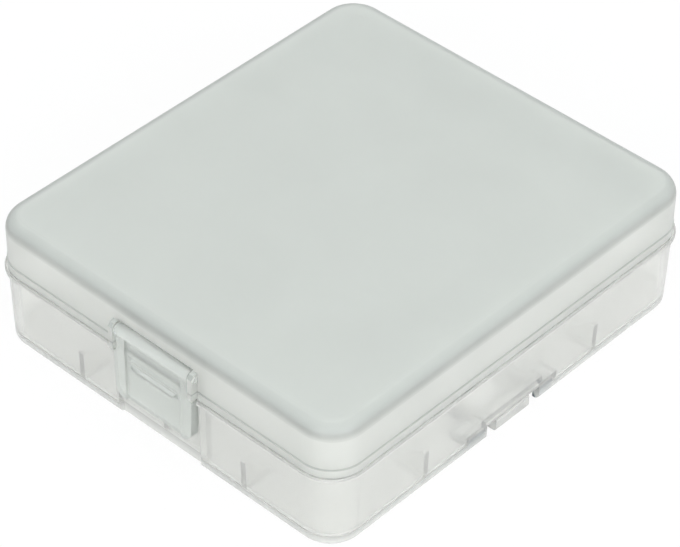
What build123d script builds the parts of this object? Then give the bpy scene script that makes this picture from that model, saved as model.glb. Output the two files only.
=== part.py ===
from build123d import *
import os
from math import hypot

os.makedirs("parts", exist_ok=True)

# Flat battery box with a hinged lid. Origin at the middle of the underside.
# The latch is on the -Y side, the lid's hinge on the +Y side, and the
# fold-out hanging loop at the foot of the +X side. All sizes in mm.

# whole box
case_width = 71.8
case_depth = 80.8
case_height = 23.3
seam_height = 14.0
seam_gap = 0.1
rim_radius = 6.3

# base tray
base_inset = 0.5
base_draft = 0.4
base_wall = 1.2
base_floor = 1.2
base_edge_radius = 1.0
base_flange_height = 0.85
flange_chamfer = 0.25
lip_thickness = 0.9
lip_height = 1.55
lip_gap = 0.25

# lid
lid_inset = 0.52
lid_wall = 1.1
lid_top = 1.2
lid_edge_radius = 2.3
lid_band_height = 1.5
lid_band_rise = 0.1

# fins that keep the cells apart
fin_height = 5.3
fin_reach = 6.5
fin_thickness = 1.0
fin_pitch_along_depth = 19.2
fin_pitch_along_width = 17.0

# latch on the front wall, distances outwards measured from the middle
latch_half_width = 8.1
latch_neck_half_width = 7.55
latch_bottom = 5.2
latch_inner_face = 39.1
latch_plate = 1.15
latch_rail_rise = 0.45
latch_rail_width = 2.35
latch_axis_out = 40.05
latch_axis_height = 18.0
latch_barrel_radius = 1.0
latch_pin_radius = 0.6
latch_shoulder_gap = 0.25
grip_top = 14.0
grip_low = 10.7
ear_thickness = 0.85
ear_gap = 0.2
latch_recess_face = 38.9
finger_recess_face = 38.7
finger_recess_half_width = 8.4
catch_half_width = 4.6
catch_reach = 0.33
catch_low = 11.5
catch_high = 13.6

# lid hinge on the back wall
hinge_out = 42.4
hinge_height = 14.4
hinge_radius = 1.6
hinge_pin_radius = 0.8
hinge_spacing = 38.0
knuckle_length = 8.0
lug_length = 2.6
hinge_side_gap = 0.2

# hanging loop in the underside
loop_axis_x = 33.2
loop_axis_height = 1.4
loop_hub_inner_face = 31.85
loop_hub_outer_face = 34.95
loop_hub_low = 0.1
loop_hub_edge_radius = 0.6
loop_hub_half_length = 3.75
loop_pin_radius = 0.7
loop_pin_end = 9.3
loop_half_width = 5.2
loop_arm_width = 1.35
loop_length = 21.0
loop_thickness = 1.5
loop_low = 0.2
pocket_gap = 0.55
pocket_depth = 1.9
pocket_roof = 0.9
pocket_flare_radius = 2.0
hub_room_gap = 0.1
mouth_top = 2.9
mouth_half_width = 6.0

pin_clearance = 0.05

half_width = case_width / 2
half_depth = case_depth / 2
base_width = case_width - 2 * base_inset
base_depth = case_depth - 2 * base_inset
lid_width = case_width - 2 * lid_inset
lid_depth = case_depth - 2 * lid_inset
lid_bottom = seam_height + seam_gap
latch_outer_face = latch_inner_face + latch_plate
latch_shoulder = lid_bottom - latch_shoulder_gap
loop_hub_reach = loop_hub_edge_radius + hypot(
    loop_hub_outer_face - loop_hub_edge_radius - loop_axis_x,
    loop_axis_height - loop_hub_low - loop_hub_edge_radius,
)
hub_room_radius = loop_hub_reach + hub_room_gap


def slab(width, depth, radius, low, high):
    outline = RectangleRounded(width, depth, radius)
    return extrude(Pos(0, 0, low) * outline, high - low)


def drafted_slab(width, depth, radius, low, high, draft):
    foot = RectangleRounded(width - 2 * draft, depth - 2 * draft, radius - draft)
    mouth = RectangleRounded(width, depth, radius)
    sections = [(Pos(0, 0, low) * foot).face(), (Pos(0, 0, high) * mouth).face()]
    return loft(sections)


def front_extrusion(points, half_length, centre=0.0):
    # a side profile of (outwards, up) points, drawn out along X on the front wall
    corners = [(-out, up) for out, up in points]
    profile = make_face(Polyline(corners, close=True))
    return Pos(centre, 0, 0) * extrude(Plane.YZ * profile, half_length, both=True)


def rod_along_x(radius, start, end, out, height):
    middle = (start + end) / 2
    return Pos(middle, out, height) * Rot(0, 90, 0) * Cylinder(radius, end - start)


def rod_along_y(radius, start, end, x, height):
    middle = (start + end) / 2
    return Pos(x, middle, height) * Rot(90, 0, 0) * Cylinder(radius, end - start)


def box_between(x_range, y_range, z_range):
    size = [high - low for low, high in (x_range, y_range, z_range)]
    centre = [(high + low) / 2 for low, high in (x_range, y_range, z_range)]
    return Pos(*centre) * Box(*size)


def tray_shell():
    outside = drafted_slab(
        base_width, base_depth, rim_radius - base_inset, 0, seam_height, base_draft
    )
    bottom_edges = outside.edges().group_by(Axis.Z)[0]
    outside = fillet(bottom_edges, base_edge_radius)
    flange = slab(
        case_width, case_depth, rim_radius, seam_height - base_flange_height, seam_height
    )
    cavity = drafted_slab(
        base_width - 2 * base_wall,
        base_depth - 2 * base_wall,
        rim_radius - base_inset - base_wall,
        base_floor,
        seam_height,
        base_draft * (1 - base_floor / seam_height),
    )
    cavity = fillet(cavity.edges().group_by(Axis.Z)[0], 0.8)
    rings = flange.edges().group_by(Axis.Z)
    flange = chamfer(rings[0] + rings[-1], flange_chamfer)
    return outside + flange - cavity


def locating_lip():
    # a lip inside the lid's wall, carried by a shelf that tapers into the tray's wall
    lip_width = lid_width - 2 * (lid_wall + lip_gap)
    lip_depth = lid_depth - 2 * (lid_wall + lip_gap)
    lip_radius = rim_radius - lid_inset - lid_wall - lip_gap
    shelf_low = seam_height - 2.4
    top = seam_height + lip_height
    ring = slab(lip_width, lip_depth, lip_radius, seam_height, top)
    shelf = slab(base_width - base_wall, base_depth - base_wall, rim_radius - 1, shelf_low, seam_height)
    clear_width = lip_width - 2 * lip_thickness
    clear_depth = lip_depth - 2 * lip_thickness
    clear_radius = lip_radius - lip_thickness
    opening = slab(clear_width, clear_depth, clear_radius, seam_height - 1.2, top)
    taper = base_wall + lip_thickness
    wide = RectangleRounded(clear_width + 2 * taper, clear_depth + 2 * taper, clear_radius + taper)
    narrow = RectangleRounded(clear_width, clear_depth, clear_radius)
    sections = [(Pos(0, 0, shelf_low) * wide).face(), (Pos(0, 0, seam_height - 1.2) * narrow).face()]
    lip = ring + shelf - opening - loft(sections)
    latch_break = box_between((-10.2, 10.2), (-half_depth, 0), (0, case_height))
    return lip - latch_break


def corner_fin(distance):
    # triangular fin from the foot of a wall towards the middle, drawn at the -Y wall
    profile = make_face(
        Polyline(
            [
                (-distance - 0.3, base_floor - 0.3),
                (-distance - 0.3, base_floor + fin_height),
                (-distance + 0.5, base_floor + fin_height),
                (-distance + fin_reach, base_floor),
                (-distance + fin_reach, base_floor - 0.3),
            ],
            close=True,
        )
    )
    return extrude(Plane.YZ * profile, fin_thickness / 2, both=True)


def cell_fins():
    end_distance = base_width / 2 - base_wall - base_draft / 2
    side_distance = base_depth / 2 - base_wall - base_draft / 2
    side_fin = corner_fin(side_distance)
    end_fin = corner_fin(end_distance)
    fins = []
    for step in (-1, 0, 1):
        along_width = step * fin_pitch_along_width
        along_depth = step * fin_pitch_along_depth
        fins.append(Pos(along_width, 0, 0) * side_fin)
        fins.append(Pos(along_width, 0, 0) * Rot(0, 0, 180) * side_fin)
        fins.append(Pos(0, along_depth, 0) * Rot(0, 0, -90) * end_fin)
        if step != 0:
            fins.append(Pos(0, along_depth, 0) * Rot(0, 0, 90) * end_fin)
    return fins


def finger_recess():
    # cut in the front wall behind the latch, with sloping sides
    flare = 0.8
    face = -finger_recess_face
    front = -half_depth - 2
    plan = make_face(
        Polyline(
            [
                (-finger_recess_half_width, face),
                (finger_recess_half_width, face),
                (finger_recess_half_width + flare, front),
                (-finger_recess_half_width - flare, front),
            ],
            close=True,
        )
    )
    return extrude(Pos(0, 0, -1) * plan, seam_height + 1)


def finger_recess_backing():
    pad = finger_recess_half_width + base_wall
    inner = -finger_recess_face + base_wall
    return box_between((-pad, pad), (-finger_recess_face - 0.4, inner), (0.5, seam_height))


def latch_catch():
    face = finger_recess_face
    tip = face + catch_reach
    points = [
        (face - 0.3, catch_high + 0.3),
        (face, catch_high),
        (tip, catch_low + 0.7),
        (tip, catch_low + 0.2),
        (face, catch_low),
        (face - 0.3, catch_low),
    ]
    return front_extrusion(points, catch_half_width)


def hinge_positions():
    return (-hinge_spacing / 2, hinge_spacing / 2)


def hinge_lug(middle):
    # a lug that stands out below the lid's edge and rounds over the hinge axis
    foot = make_face(
        Polyline(
            [
                (half_depth - 1.2, seam_height),
                (half_depth - 1.2, seam_height - 5.4),
                (hinge_out, hinge_height - hinge_radius),
                (hinge_out + hinge_radius, hinge_height),
                (hinge_out, seam_height),
            ],
            close=True,
        )
    )
    start = middle - lug_length / 2
    web = Pos(middle, 0, 0) * extrude(Plane.YZ * foot, lug_length / 2, both=True)
    barrel = rod_along_x(hinge_radius, start, start + lug_length, hinge_out, hinge_height)
    bore = rod_along_x(hinge_pin_radius + pin_clearance, start - 1, start + lug_length + 1, hinge_out, hinge_height)
    return web + barrel - bore


def hinge_lugs():
    offset = knuckle_length / 2 + hinge_side_gap + lug_length / 2
    lugs = []
    for centre in hinge_positions():
        lugs.append(hinge_lug(centre - offset))
        lugs.append(hinge_lug(centre + offset))
    return lugs


def loop_housing():
    # raised roof over the loop's pocket, with a higher bar over its hub
    pocket_half = loop_half_width + pocket_gap
    roof_top = pocket_depth + pocket_roof
    wall_inside = half_width - base_inset - base_wall - base_draft / 2
    inner_end = loop_axis_x - loop_length - pocket_gap - 1.0
    plan = Pos((inner_end + wall_inside) / 2, 0, 0.4) * RectangleRounded(
        wall_inside - inner_end, 2 * (pocket_half + 1.0), 3.0
    )
    roof = extrude(plan, roof_top - 0.4)
    square_end = box_between(
        (wall_inside - 4, half_width - base_inset - 0.9),
        (-pocket_half - 1.0, pocket_half + 1.0),
        (0.4, roof_top),
    )
    bosses = box_between(
        (loop_axis_x - 2.4, half_width - base_inset - 0.9),
        (-loop_pin_end - 1.1, loop_pin_end + 1.1),
        (0.4, roof_top + 0.2),
    )
    bar_half = mouth_half_width + pocket_roof
    bar = rod_along_y(hub_room_radius + pocket_roof, -bar_half, bar_half, loop_axis_x, loop_axis_height)
    bar = bar & box_between((0, half_width - base_inset - 0.9), (-20, 20), (0.4, 20))
    return [roof, square_end, bosses, bar]


def pocket_flare(pocket_half):
    # widens the pocket towards a pin socket along a quarter round, drawn on the +Y side
    start = loop_axis_x - 0.8 - pocket_flare_radius
    corner = start + pocket_flare_radius
    end = pocket_half + pocket_flare_radius
    middle = pocket_flare_radius * (1 - 0.5**0.5)
    edges = [
        Line((start, pocket_half), (start, pocket_half - 0.2)),
        Line((start, pocket_half - 0.2), (loop_axis_x, pocket_half - 0.2)),
        Line((loop_axis_x, pocket_half - 0.2), (loop_axis_x, end)),
        Line((loop_axis_x, end), (corner, end)),
        ThreePointArc((corner, end), (corner - middle, pocket_half + middle), (start, pocket_half)),
    ]
    return extrude(Pos(0, 0, -1) * make_face(edges), pocket_depth + 1)


def loop_pocket():
    pocket_half = loop_half_width + pocket_gap
    inner_end = loop_axis_x - loop_length - pocket_gap
    long_plan = RectangleRounded(loop_axis_x - inner_end + 8, 2 * pocket_half, 4.5)
    slot = extrude(Pos((inner_end + loop_axis_x + 8) / 2, 0, -1) * long_plan, pocket_depth + 1)
    slot = slot & box_between((0, loop_axis_x), (-20, 20), (-2, 5))
    across = (-mouth_half_width, mouth_half_width)
    hub_room = rod_along_y(hub_room_radius, *across, loop_axis_x, loop_axis_height)
    mouth = box_between((loop_axis_x, half_width + 1), across, (-1, mouth_top))
    below_hub = box_between((loop_axis_x - hub_room_radius, loop_axis_x + 0.1), across, (-1, loop_axis_height))
    flare = pocket_flare(pocket_half)
    socket = rod_along_y(
        loop_pin_radius + pin_clearance, -loop_pin_end - 0.15, loop_pin_end + 0.15, loop_axis_x, loop_axis_height
    )
    snap_half = loop_pin_radius * 0.75
    snap_mouth = box_between(
        (loop_axis_x - snap_half, loop_axis_x + snap_half),
        (-loop_pin_end - 0.15, loop_pin_end + 0.15),
        (-1, loop_axis_height),
    )
    return [slot, hub_room, mouth, below_hub, flare, mirror(flare, Plane.XZ), socket, snap_mouth]


def make_base_tray():
    tray = tray_shell() + locating_lip()
    for fin in cell_fins():
        tray += fin
    tray += finger_recess_backing()
    tray -= finger_recess()
    tray += latch_catch()
    for lug in hinge_lugs():
        tray += lug
    for block in loop_housing():
        tray += block
    for cut in loop_pocket():
        tray -= cut
    return tray


def lid_shell():
    radius = rim_radius - lid_inset
    outside = slab(lid_width, lid_depth, radius, lid_bottom, case_height)
    outside = fillet(outside.edges().group_by(Axis.Z)[-1], lid_edge_radius)
    inside_height = case_height - lid_top
    cavity = slab(
        lid_width - 2 * lid_wall,
        lid_depth - 2 * lid_wall,
        radius - lid_wall,
        lid_bottom - 1,
        inside_height,
    )
    cavity = fillet(cavity.edges().group_by(Axis.Z)[-1], lid_edge_radius - lid_wall)
    band = slab(
        lid_width + 2 * lid_band_rise,
        lid_depth + 2 * lid_band_rise,
        radius + lid_band_rise,
        lid_bottom,
        lid_bottom + lid_band_height,
    )
    return outside + band - cavity


def latch_recess():
    half = latch_neck_half_width + ear_gap
    half_with_ears = half + ear_thickness
    top = latch_axis_height + latch_barrel_radius + 0.4
    recess = box_between((-half, half), (-half_depth - 5, -latch_recess_face), (0, top))
    band_break = box_between(
        (-half_with_ears, half_with_ears),
        (-half_depth - 5, -lid_depth / 2),
        (0, top + 1),
    )
    return [recess, band_break]


def latch_recess_backing():
    pad = latch_neck_half_width + ear_gap + lid_wall
    inner = -latch_recess_face + lid_wall
    top = latch_axis_height + latch_barrel_radius + 0.4 + lid_wall
    return box_between((-pad, pad), (-latch_recess_face - 0.4, inner), (lid_bottom, top))


def latch_ear(side):
    # a gusset that stands out beside the latch and holds its stub pin
    wall = lid_depth / 2
    points = [
        (latch_recess_face - 0.3, lid_bottom + 0.2),
        (wall + 1.25, lid_bottom + 0.2),
        (wall + 1.25, latch_axis_height + 0.4),
        (wall + 0.75, latch_axis_height + 1.05),
        (wall, latch_axis_height + 1.25),
        (latch_recess_face - 0.3, latch_axis_height + 1.25),
    ]
    middle = side * (latch_neck_half_width + ear_gap + ear_thickness / 2)
    return front_extrusion(points, ear_thickness / 2, middle)


def latch_pin_bores():
    reach = latch_neck_half_width + ear_gap + ear_thickness + 0.05
    return rod_along_x(latch_pin_radius + pin_clearance, -reach, reach, -latch_axis_out, latch_axis_height)


def hinge_knuckle(centre):
    # the lid's half of one hinge, with a stub pin at each end
    start = centre - knuckle_length / 2
    end = centre + knuckle_length / 2
    barrel = rod_along_x(hinge_radius, start, end, hinge_out, hinge_height)
    arm_top = hinge_height + hinge_radius
    arm = box_between((start, end), (lid_depth / 2 - 0.5, hinge_out), (lid_bottom, arm_top))
    pin_reach = hinge_side_gap + lug_length
    pins = rod_along_x(hinge_pin_radius, start - pin_reach, end + pin_reach, hinge_out, hinge_height)
    return barrel + arm + pins


def make_lid():
    lid = lid_shell() + latch_recess_backing()
    for cut in latch_recess():
        lid -= cut
    for side in (-1, 1):
        lid += latch_ear(side)
    lid -= latch_pin_bores()
    for centre in hinge_positions():
        lid += hinge_knuckle(centre)
    return lid


def latch_outline():
    # front view of the latch: a neck between the ears, shoulders below them, round corners
    plan = Polyline(
        [
            (-latch_neck_half_width, latch_axis_height),
            (latch_neck_half_width, latch_axis_height),
            (latch_neck_half_width, latch_shoulder),
            (latch_half_width, latch_shoulder),
            (latch_half_width - 0.35, latch_bottom),
            (-latch_half_width + 0.35, latch_bottom),
            (-latch_half_width, latch_shoulder),
            (-latch_neck_half_width, latch_shoulder),
        ],
        close=True,
    )
    outline = make_face(plan)
    bottom_corners = outline.vertices().group_by(Axis.Y)[0]
    return fillet(bottom_corners, 2.0)


def latch_body():
    facing = Plane(origin=(0, -latch_inner_face, 0), x_dir=(1, 0, 0), z_dir=(0, -1, 0))
    plate = extrude(facing * latch_outline(), latch_plate)
    rails = extrude(facing * latch_outline(), latch_plate + latch_rail_rise)
    inner_edge = latch_half_width - latch_rail_width
    rails -= box_between((-inner_edge, inner_edge), (-half_depth - 5, 0), (0, case_height))
    barrel = rod_along_x(
        latch_barrel_radius, -latch_neck_half_width, latch_neck_half_width, -latch_axis_out, latch_axis_height
    )
    return plate + rails + barrel


def latch_grip():
    # stepped wedge that narrows downwards, hollow behind where the tray's catch sits
    face = latch_outer_face
    points = [
        (face - 0.2, grip_top),
        (face, grip_top),
        (face + 0.3, grip_top - 0.7),
        (face + 0.2, grip_top - 0.9),
        (face + 0.55, grip_top - 1.6),
        (face + 0.5, grip_top - 1.9),
        (face, grip_low),
        (face - 0.2, grip_low),
    ]
    wedge = front_extrusion(points, 5.5)
    outline = Polyline([(-5.5, grip_top), (5.5, grip_top), (3.2, grip_low), (-3.2, grip_low)], close=True)
    return wedge & extrude(Plane.XZ * make_face(outline), case_depth, both=True)


def catch_room():
    inner = latch_inner_face
    room_depth = 0.9
    points = [
        (inner - 1, catch_high + 0.6),
        (inner, catch_high + 0.35),
        (inner + room_depth, catch_low + 0.9),
        (inner + room_depth, catch_low),
        (inner, catch_low - 0.35),
        (inner - 1, catch_low - 0.35),
    ]
    return front_extrusion(points, catch_half_width + 0.35)


def make_latch():
    latch = latch_body() + latch_grip() - catch_room()
    pin_end = latch_neck_half_width + ear_gap + ear_thickness
    latch += rod_along_x(latch_pin_radius, -pin_end, pin_end, -latch_axis_out, latch_axis_height)
    return latch


def make_hanging_loop():
    axis = loop_axis_x
    end = axis - loop_length
    plate_length = loop_length + loop_half_width
    outer = Pos((end + end + plate_length) / 2, 0, 0) * RectangleRounded(
        plate_length, 2 * loop_half_width, loop_half_width - 0.01
    )
    inner_half = loop_half_width - loop_arm_width
    inner_start = end + 1.8
    inner_end = loop_hub_inner_face - 0.35
    inner = Pos((inner_start + inner_end) / 2, 0, 0) * RectangleRounded(
        inner_end - inner_start, 2 * inner_half, 1.9
    )
    ring = extrude(Pos(0, 0, loop_low) * (outer - inner), loop_thickness)
    ring = ring & box_between((0, axis), (-20, 20), (-1, 5))
    shoulder_cut = box_between((axis - 1.0, axis + 1), (loop_hub_half_length, 20), (-1, 5))
    ring = ring - shoulder_cut - mirror(shoulder_cut, Plane.XZ)
    hub_width = loop_hub_outer_face - loop_hub_inner_face
    hub_height = 2 * (loop_axis_height - loop_hub_low)
    hub_profile = Pos(loop_hub_inner_face + hub_width / 2, loop_axis_height) * RectangleRounded(
        hub_width, hub_height, loop_hub_edge_radius
    )
    hub = extrude(Plane.XZ * hub_profile, loop_hub_half_length, both=True)
    pins = rod_along_y(loop_pin_radius, -loop_pin_end, loop_pin_end, axis, loop_axis_height)
    return ring + hub + pins


nodes = {
    "base_tray": make_base_tray(),
    "lid": make_lid(),
    "latch": make_latch(),
    "hanging_loop": make_hanging_loop(),
}

for name, shape in nodes.items():
    export_step(shape, f"parts/{name}.step")
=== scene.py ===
import bpy
import math
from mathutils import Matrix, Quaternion, Vector


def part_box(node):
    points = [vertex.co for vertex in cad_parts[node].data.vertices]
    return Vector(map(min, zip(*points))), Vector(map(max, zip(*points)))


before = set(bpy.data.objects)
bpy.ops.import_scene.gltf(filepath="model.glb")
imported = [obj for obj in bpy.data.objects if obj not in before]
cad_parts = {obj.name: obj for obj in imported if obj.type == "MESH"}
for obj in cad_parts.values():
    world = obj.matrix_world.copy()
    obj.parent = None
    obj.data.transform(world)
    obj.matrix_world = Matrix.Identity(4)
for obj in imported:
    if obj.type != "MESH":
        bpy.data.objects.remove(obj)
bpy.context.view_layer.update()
print("frame loaded:", ", ".join(sorted(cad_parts)))

mm = 0.001


def linearColour(hexText, alpha=1.0):
    # sRGB hex to the linear values that the shaders take
    channels = [int(hexText[i:i + 2], 16) / 255 for i in (1, 3, 5)]
    linear = [c / 12.92 if c <= 0.04045 else ((c + 0.055) / 1.055) ** 2.4 for c in channels]
    return (*linear, alpha)


def addNode(tree, kind, settings=None, links=None):
    # settings: property or input name to value; links: input name to an output socket
    node = tree.nodes.new(kind)
    for name, value in (settings or {}).items():
        if name == "greyStops":   # a colour ramp's, as pairs of a position from 0 to 1 and a grey
            marks = node.color_ramp.elements
            marks.remove(marks[1])
            for position, grey in value:
                mark = marks[0] if position == 0 else marks.new(position)
                mark.color = (grey, grey, grey, 1)
        elif isinstance(name, int) or name in node.inputs:
            node.inputs[name].default_value = value
        else:
            setattr(node, name, value)
    for name, source in (links or {}).items():
        tree.links.new(source, node.inputs[name])
    return node


def newMaterial(name):
    material = bpy.data.materials.new(name)
    material.use_nodes = True
    material.node_tree.nodes.clear()
    return material, material.node_tree


# Natural polypropylene, injection moulded: colourless and cloudy, with a waxy sheen.
# The eye gets a pale grey body through which whatever lies behind turns soft.

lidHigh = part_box("lid")[1]
lidLook = {
    "clearColour": "#F7F8F5",
    "cloudColour": "#F0F2EE",
    # grey of the painted shade on the lines and on the rounded rim
    "paintedShadeColour": "#959A98",
    "ior": 1.49,
    "roughness": 0.3,
    "transmission": 0.72,     # share of the light let through
    "grainSize": 0.45 * mm,   # spark-eroded mould grain, drawn coarser so that it shows
    "grainBump": 0.06,
    "grainDepth": 0.02 * mm,
    "flowSize": 14 * mm,      # slow changes of thickness along the melt's path
    "flowBump": 0.15,
    "flowDepth": 0.25 * mm,
    "scuffLength": 9 * mm,
    "scuffRoughness": 0.08,
    "scuffFrom": 0.45,        # noise level at which a scuff begins
    "scuffTo": 0.75,          # and at which it is fully there
}
topGrainAndShadeLook = dict(   # the flat top: matt from a grained mould, so denser than the walls; its grey, darker than the walls, is painted shade
    lidLook, clearColour="#DEE2DE", cloudColour="#D7DBD7", roughness=0.5, transmission=0.4,
    grainBump=0.12,
)
trayLook = dict(   # the clearest piece; each clear stop is a height in mm and a transmission
    lidLook, clearColour="#FCFCFA", cloudColour="#F6F7F4", roughness=0.18, scuffRoughness=0.05,
    clearStops=((0, 0.5), (2.5, 0.79), (12.6, 0.79), (13.3, 0.74)), grainBump=0.03,
)
pocketShadeLook = dict(   # painted shade: the sides of the loop's pocket coloured dark for the soft dark curves they show when seen through the wall
    lidLook, clearColour="#4C5A60", cloudColour="#445258", transmission=0.15,
)
latchLook = dict(   # a smooth plate, paler at its thick barrel
    lidLook, clearColour="#F0F3F0", cloudColour="#E9EDE9", roughness=0.2, scuffRoughness=0.05,
    clearStops=((0, 0.72), (16.9, 0.72), (17.5, 0.62)), grainBump=0.03, flowBump=0.08,
)
loopLook = dict(   # smooth, and as pale as the tray around it
    lidLook, clearColour="#FCFCFA", cloudColour="#F6F7F4", roughness=0.2, scuffRoughness=0.05,
    grainBump=0.03, flowBump=0.08,
)
lidRimPaintedShade = {   # painted shade on the lid's thick rounded rim, darker by how far each face looks up, as it passes from the wall to the matt top
    "topColour": topGrainAndShadeLook["clearColour"],
    "topTransmission": topGrainAndShadeLook["transmission"],
    "wallUpTo": 0.3,   # how far a face looks up: 0 on a wall, 1 on the top
    "topFrom": 0.75,
    "paintedShadeStops": (    # how far the face looks up, and how dark the painted shade is there
        (0.0, 0.0), (0.1, 0.2), (0.3, 0.5), (0.5, 0.66),
        (0.7, 0.56), (0.85, 0.46), (0.95, 0.33), (1.0, 0.1),
    ),
}

# painted shade lines on the walls, at the seam and at the band's step: height, half width,
# strength and reach to each side
seamHeight = 14.05 * mm
allRound = 100 * mm
lineFade = 0.4 * mm   # half the length over which a line dies out at its ends
lidShadeLines = (
    # painted shade in the seam between lid and tray
    (seamHeight + 0.05 * mm, 0.28 * mm, 0.25, allRound),
    (15.6 * mm, 0.26 * mm, 0.62, allRound),   # painted shade at the step of the fine band above the seam
)
# painted shade along the seam, on the tray's side
trayShadeLines = ((seamHeight - 0.05 * mm, 0.15 * mm, 0.12, allRound),)
gripShadeLines = (   # painted shade for the grip's steps, seen through the plate
    (15.0 * mm, 0.8 * mm, 0.5, 5.8 * mm),
    (12.2 * mm, 0.9 * mm, 0.5, 4.9 * mm),
)

fineNoise = {"Detail": 3.0, "Roughness": 0.6}
slowNoise = {"Detail": 2.0, "Roughness": 0.45, "Distortion": 0.4}


def smoothBump(tree, socket, low, peak, high):
    # 0 outside low..high, rising smoothly to 1 at the peak
    rise = addNode(
        tree, "ShaderNodeMapRange",
        {"interpolation_type": "SMOOTHSTEP", "From Min": low, "From Max": peak},
        {"Value": socket},
    )
    fall = addNode(
        tree, "ShaderNodeMapRange",
        {
            "interpolation_type": "SMOOTHSTEP", "From Min": peak, "From Max": high,
            "To Min": 1.0, "To Max": 0.0,
        },
        {"Value": socket},
    )
    return addNode(
        tree, "ShaderNodeMath", {"operation": "MULTIPLY"},
        {0: rise.outputs["Result"], 1: fall.outputs["Result"]},
    ).outputs[0]


def blendTint(tree, tint, amount, strength, colour):
    # lays a colour over the tint where amount is high
    share = addNode(tree, "ShaderNodeMath", {"operation": "MULTIPLY", 1: strength}, {0: amount})
    mixed = addNode(
        tree, "ShaderNodeMix",
        {"data_type": "RGBA", 7: linearColour(colour)},
        {0: share.outputs[0], 6: tint},
    )
    return mixed.outputs[2]


# paints lines of shade across the walls in the painted shade colour
def paintShadeLines(tree, tint, split, look, lines):
    sideways = addNode(
        tree, "ShaderNodeMath", {"operation": "ABSOLUTE"}, {0: split.outputs["X"]}
    ).outputs[0]
    for height, halfWidth, strength, reach in lines:
        across = smoothBump(
            tree, split.outputs["Z"], height - halfWidth, height, height + halfWidth
        )
        along = addNode(
            tree, "ShaderNodeMapRange",
            {
                "interpolation_type": "SMOOTHSTEP",
                "From Min": reach - lineFade, "From Max": reach + lineFade,
                "To Min": 1.0, "To Max": 0.0,
            },
            {"Value": sideways},
        ).outputs["Result"]
        line = addNode(
            tree, "ShaderNodeMath", {"operation": "MULTIPLY"}, {0: across, 1: along}
        ).outputs[0]
        tint = blendTint(tree, tint, line, strength, look["paintedShadeColour"])
    return tint


def clearByHeight(tree, height, clearStops):
    # less light seeps through where the wall is thick, at the foot and the rims
    fraction = addNode(
        tree, "ShaderNodeMath", {"operation": "DIVIDE", 1: lidHigh.z}, {0: height}
    ).outputs[0]
    stops = [(at * mm / lidHigh.z, share) for at, share in clearStops]
    return addNode(
        tree, "ShaderNodeValToRGB", {"greyStops": stops}, {"Fac": fraction}
    ).outputs["Color"]


def paintRimShade(tree, tint, normal, look, rimShadePaint):
    # returns the tint and the transmission over the rounded rim, the tint with painted shade that
    # darkens by how far each face looks up
    turned = addNode(tree, "ShaderNodeSeparateXYZ", {}, {"Vector": normal}).outputs["Z"]
    upward = addNode(
        tree, "ShaderNodeMapRange",
        {
            "interpolation_type": "SMOOTHSTEP",
            "From Min": rimShadePaint["wallUpTo"], "From Max": rimShadePaint["topFrom"],
        },
        {"Value": turned},
    ).outputs["Result"]
    # painted shade, darker by how far the face looks up
    shade = addNode(
        tree, "ShaderNodeValToRGB", {"greyStops": rimShadePaint["paintedShadeStops"]}, {"Fac": turned}
    ).outputs["Color"]
    tint = blendTint(tree, tint, upward, 1.0, rimShadePaint["topColour"])
    tint = blendTint(tree, tint, shade, 1.0, look["paintedShadeColour"])
    clear = addNode(
        tree, "ShaderNodeMapRange",
        {"To Min": look["transmission"], "To Max": rimShadePaint["topTransmission"]},
        {"Value": upward},
    ).outputs["Result"]
    return tint, clear


def mouldedPolypropylene(name, look, lines=(), rimShadePaint=None):
    material, tree = newMaterial(name)
    coordinates = addNode(tree, "ShaderNodeTexCoord")
    position = coordinates.outputs["Object"]
    grainNoise = addNode(
        tree, "ShaderNodeTexNoise",
        dict(fineNoise, Scale=1 / look["grainSize"]), {"Vector": position},
    )
    flowNoise = addNode(
        tree, "ShaderNodeTexNoise",
        dict(slowNoise, Scale=1 / look["flowSize"]), {"Vector": position},
    )
    scuffNoise = addNode(
        tree, "ShaderNodeTexNoise",
        dict(fineNoise, Scale=1 / look["scuffLength"]), {"Vector": position},
    )
    tint = addNode(
        tree, "ShaderNodeMix",
        {
            "data_type": "RGBA",
            6: linearColour(look["clearColour"]), 7: linearColour(look["cloudColour"]),
        },
        {0: flowNoise.outputs["Fac"]},
    ).outputs[2]
    split = addNode(tree, "ShaderNodeSeparateXYZ", {}, {"Vector": position})
    tint = paintShadeLines(tree, tint, split, look, lines)
    clear = None
    if "clearStops" in look:
        clear = clearByHeight(tree, split.outputs["Z"], look["clearStops"])
    if rimShadePaint:
        tint, clear = paintRimShade(tree, tint, coordinates.outputs["Normal"], look, rimShadePaint)
    scuffs = addNode(
        tree, "ShaderNodeMapRange",
        {
            "From Min": look["scuffFrom"], "From Max": look["scuffTo"],
            "To Min": look["roughness"], "To Max": look["roughness"] + look["scuffRoughness"],
        },
        {"Value": scuffNoise.outputs["Fac"]},
    )
    grainBump = addNode(
        tree, "ShaderNodeBump",
        {"Strength": look["grainBump"], "Distance": look["grainDepth"]},
        {"Height": grainNoise.outputs["Fac"]},
    )
    flowBump = addNode(
        tree, "ShaderNodeBump",
        {"Strength": look["flowBump"], "Distance": look["flowDepth"]},
        {"Height": flowNoise.outputs["Fac"], "Normal": grainBump.outputs["Normal"]},
    )
    shader = addNode(
        tree, "ShaderNodeBsdfPrincipled",
        {"IOR": look["ior"], "Transmission Weight": look["transmission"]},
        {
            "Base Color": tint,
            "Roughness": scuffs.outputs["Result"],
            "Normal": flowBump.outputs["Normal"],
        },
    )
    if clear:
        tree.links.new(clear, shader.inputs["Transmission Weight"])
    addNode(tree, "ShaderNodeOutputMaterial", {}, {"Surface": shader.outputs["BSDF"]})
    return material


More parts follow.
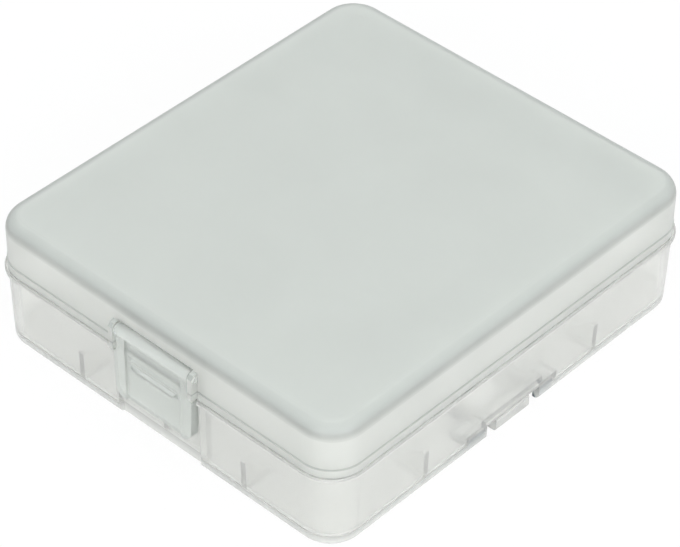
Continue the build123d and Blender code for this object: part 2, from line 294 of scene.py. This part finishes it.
trayPlastic = mouldedPolypropylene("mouldedPolypropyleneTray", trayLook, trayShadeLines)
pocketShadePaint = mouldedPolypropylene("pocketPaintedShade", pocketShadeLook)
lidPlastic = mouldedPolypropylene("mouldedPolypropyleneLid", lidLook, lidShadeLines, lidRimPaintedShade)
topGrainAndShadePlastic = mouldedPolypropylene("grainedPolypropyleneWithPaintedShade", topGrainAndShadeLook)
latchPlastic = mouldedPolypropylene("mouldedPolypropyleneLatch", latchLook, gripShadeLines)
loopPlastic = mouldedPolypropylene("mouldedPolypropyleneLoop", loopLook)
print("polypropylene mixed")


lidTop = {
    "flatFrom": 0.999,   # the least that a face of the flat top looks up
    "depth": 0.2 * mm,
}
pocketSides = {   # where the upright sides of the loop's pocket and its pin sockets lie; these faces take the painted shade
    "innerX": 14 * mm,
    "outerX": 34.2 * mm,
    "nearY": 5.4 * mm,   # to either side of the loop's middle
    "farY": 9.6 * mm,
    "lowZ": 0.15 * mm,
    "highZ": 2.4 * mm,
    "uprightBelow": 0.8,   # the most that an upright face looks up or down
}


# the flat top's faces take the grained material with its painted shade
def lidSlot(centre, normal):
    return int(normal.z > lidTop["flatFrom"] and centre.z > lidHigh.z - lidTop["depth"])


def traySlot(centre, normal):
    sides = pocketSides
    besideLoop = sides["nearY"] < abs(centre.y) < sides["farY"]
    alongLoop = sides["innerX"] < centre.x < sides["outerX"]
    atFoot = sides["lowZ"] < centre.z < sides["highZ"]
    return int(besideLoop and alongLoop and atFoot and abs(normal.z) < sides["uprightBelow"])


def dressNode(nodeName, materials, chooser=None):
    # gives a node its materials; chooser returns the slot for a face's centre and normal
    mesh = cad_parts[nodeName].data
    mesh.materials.clear()
    for material in materials:
        mesh.materials.append(material)
    if chooser:
        for face in mesh.polygons:
            face.material_index = chooser(face.center, face.normal)


dressNode("lid", [lidPlastic, topGrainAndShadePlastic], lidSlot)
dressNode("base_tray", [trayPlastic, pocketShadePaint], traySlot)
dressNode("latch", [latchPlastic])
dressNode("hanging_loop", [loopPlastic])
print("nodes dressed")


studio = {
    "floorSize": 4.0,
    "floorDrop": 0.05 * mm,    # keeps the floor clear of the tray's underside
    "floorColour": "#F4F5F5",
    "floorWhiteShare": 0.93,   # the rest of the floor takes light and shadow
    "worldColour": "#F2F5F5",
    "worldStrength": 1.0,
    "keyPower": 6.0,
    "keySize": 0.7,
    "keyPlace": (0.45, -0.87, 0.4),
    "fillPower": 5.0,
    "fillSize": 0.7,
    "fillPlace": (0.9, -0.15, 0.42),
    "aim": (0, 0, 0.01),       # near the middle of the case
}


def whiteToCamera(tree, shaderSocket, share):
    # the camera, and rays through or off the plastic, see part of this surface as plain white
    path = addNode(tree, "ShaderNodeLightPath")
    cameraOrGlossy = addNode(
        tree, "ShaderNodeMath", {"operation": "MAXIMUM"},
        {0: path.outputs["Is Camera Ray"], 1: path.outputs["Is Glossy Ray"]},
    )
    seen = addNode(
        tree, "ShaderNodeMath", {"operation": "MAXIMUM"},
        {0: cameraOrGlossy.outputs[0], 1: path.outputs["Is Transmission Ray"]},
    )
    shareSeen = addNode(
        tree, "ShaderNodeMath", {"operation": "MULTIPLY", 1: share}, {0: seen.outputs[0]}
    )
    white = addNode(tree, "ShaderNodeEmission", {"Color": (1, 1, 1, 1), "Strength": 1.0})
    return addNode(
        tree, "ShaderNodeMixShader", {},
        {0: shareSeen.outputs[0], 1: shaderSocket, 2: white.outputs[0]},
    )


def makeFloor():
    half, z = studio["floorSize"] / 2, -studio["floorDrop"]
    mesh = bpy.data.meshes.new("floor")
    corners = [(-half, -half, z), (half, -half, z), (half, half, z), (-half, half, z)]
    mesh.from_pydata(corners, [], [(0, 1, 2, 3)])
    floor = bpy.data.objects.new("floor", mesh)
    bpy.context.scene.collection.objects.link(floor)
    material, tree = newMaterial("paperFloor")
    paper = addNode(tree, "ShaderNodeBsdfDiffuse", {"Color": linearColour(studio["floorColour"])})
    mixed = whiteToCamera(tree, paper.outputs[0], studio["floorWhiteShare"])
    addNode(tree, "ShaderNodeOutputMaterial", {}, {"Surface": mixed.outputs[0]})
    mesh.materials.append(material)


def lightWorld():
    world = bpy.data.worlds.new("studio")
    bpy.context.scene.world = world
    world.use_nodes = True
    tree = world.node_tree
    tree.nodes.clear()
    room = addNode(
        tree, "ShaderNodeBackground",
        {"Color": linearColour(studio["worldColour"]), "Strength": studio["worldStrength"]},
    )
    mixed = whiteToCamera(tree, room.outputs[0], 1.0)
    addNode(tree, "ShaderNodeOutputWorld", {}, {"Surface": mixed.outputs[0]})


def addSoftbox(name, place, size, power):
    lamp = bpy.data.lights.new(name, "AREA")
    lamp.shape = "SQUARE"
    lamp.size = size
    lamp.energy = power
    lampObject = bpy.data.objects.new(name, lamp)
    lampObject.location = place
    aim = Vector(studio["aim"]) - Vector(place)
    lampObject.rotation_mode = "QUATERNION"
    lampObject.rotation_quaternion = aim.to_track_quat("-Z", "Y")
    lampObject.visible_glossy = False   # light without a glare across the flat lid
    bpy.context.scene.collection.objects.link(lampObject)


makeFloor()
lightWorld()
addSoftbox("keySoftbox", studio["keyPlace"], studio["keySize"], studio["keyPower"])
addSoftbox("fillSoftbox", studio["fillPlace"], studio["fillSize"], studio["fillPower"])
print("studio lit")


cameraView = {   # matched to the box edges of the photograph; angles in degrees
    "azimuth": 42.549,
    "elevation": 40.995,
    "roll": 0.865,
    "distance": 0.4760,
    "target": (0.0021, -0.00287, 0.0110),
    "lens": 165.38,
    "sensorWidth": 36.0,
    "clipStart": 0.01,
    "clipEnd": 20.0,
}


def placeCamera():
    view = cameraView
    azimuth, elevation = math.radians(view["azimuth"]), math.radians(view["elevation"])
    back = Vector((
        math.sin(azimuth) * math.cos(elevation),
        -math.cos(azimuth) * math.cos(elevation),
        math.sin(elevation),
    ))
    camera = bpy.data.cameras.new("camera")
    camera.lens = view["lens"]
    camera.sensor_width = view["sensorWidth"]
    camera.clip_start = view["clipStart"]
    camera.clip_end = view["clipEnd"]
    cameraObject = bpy.data.objects.new("camera", camera)
    cameraObject.location = Vector(view["target"]) + back * view["distance"]
    cameraObject.rotation_mode = "QUATERNION"
    turn = (-back).to_track_quat("-Z", "Y")
    cameraObject.rotation_quaternion = turn @ Quaternion((0, 0, 1), math.radians(view["roll"]))
    bpy.context.scene.collection.objects.link(cameraObject)
    bpy.context.scene.camera = cameraObject


placeCamera()
bpy.context.scene.view_settings.view_transform = "Standard"
print("camera placed")
